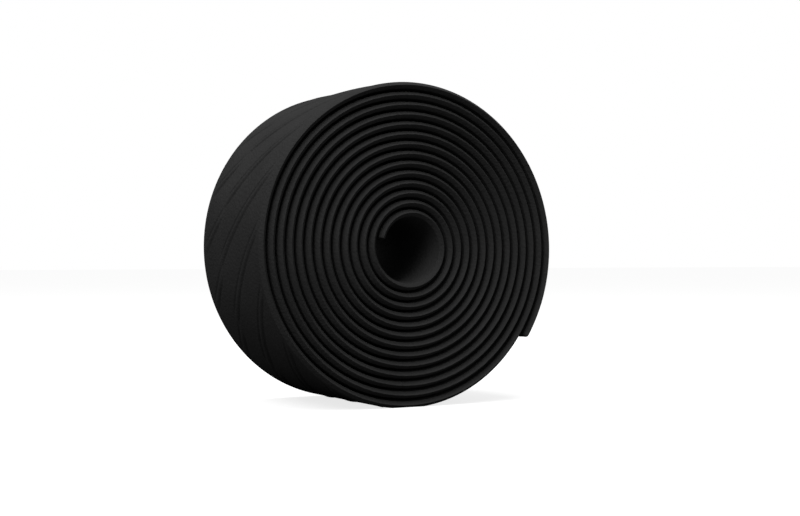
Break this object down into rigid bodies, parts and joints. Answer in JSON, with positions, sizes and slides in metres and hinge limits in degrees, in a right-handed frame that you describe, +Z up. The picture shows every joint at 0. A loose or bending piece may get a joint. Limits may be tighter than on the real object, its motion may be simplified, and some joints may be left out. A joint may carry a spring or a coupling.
{
  "type": "handlebar tape roll",
  "caption": "Strip of black foam handlebar tape wound on itself into a coreless roll, lying on its side with an open hole through the middle.",
  "frame": {"origin": "middle of the small flat spot under the outer turn, on the surface the roll lies on, midway across the tape's width", "axes": "+Z up, +Y along the roll's axis from the front end to the back end, +X to the right seen from the front"},
  "size_m": [0.0789, 0.0376, 0.0777],
  "materials": {
    "tape": "matt black foamed polyurethane skin with fine grain, and faint slanting grooves in pairs across its outer face"
  },
  "bodies": {
    "root": {"tape_roll": "tape"}
  },
  "joints": []
}
